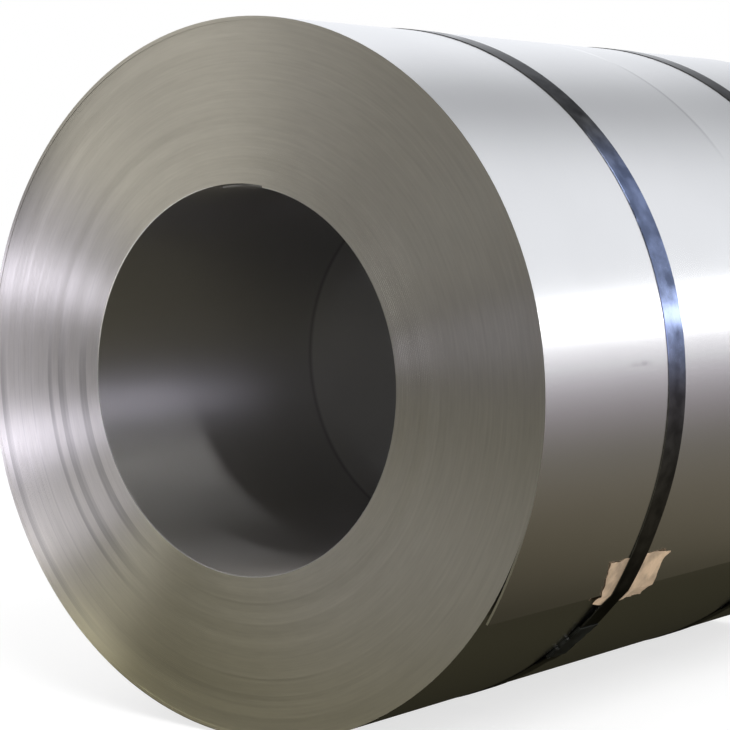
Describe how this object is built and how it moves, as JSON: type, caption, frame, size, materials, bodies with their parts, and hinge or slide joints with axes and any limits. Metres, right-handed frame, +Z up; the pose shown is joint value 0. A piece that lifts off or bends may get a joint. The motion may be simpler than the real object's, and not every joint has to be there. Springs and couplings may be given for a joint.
{
  "type": "steel coil",
  "caption": "Coil of bare steel strip lying with its eye level, held by black steel straps with crimped seals, its loose outer end taped down.",
  "frame": {"origin": "centre of the bounding box's underside, on the floor under the middle of the coil", "axes": "+X along the coil's axis from the near end to the far end, +Z up, the strap seals and the strip's loose end on the -Y side"},
  "size_m": [1.3306, 1.1286, 1.127],
  "materials": {
    "bare_steel": "bare cold-rolled steel, satin on the outside and ground-looking where the slit edges of the wraps show",
    "strap_steel": "blue-black waxed and painted strapping, semi-gloss",
    "seal_steel": "black crimped seal, satin",
    "paper_tape": "tan paper tape, matt, creased"
  },
  "bodies": {
    "root": {"coil": "bare_steel", "strap_1": "strap_steel", "strap_2": "strap_steel", "strap_seal_1": "seal_steel", "strap_seal_2": "seal_steel", "tail_tape": "paper_tape"}
  },
  "joints": []
}
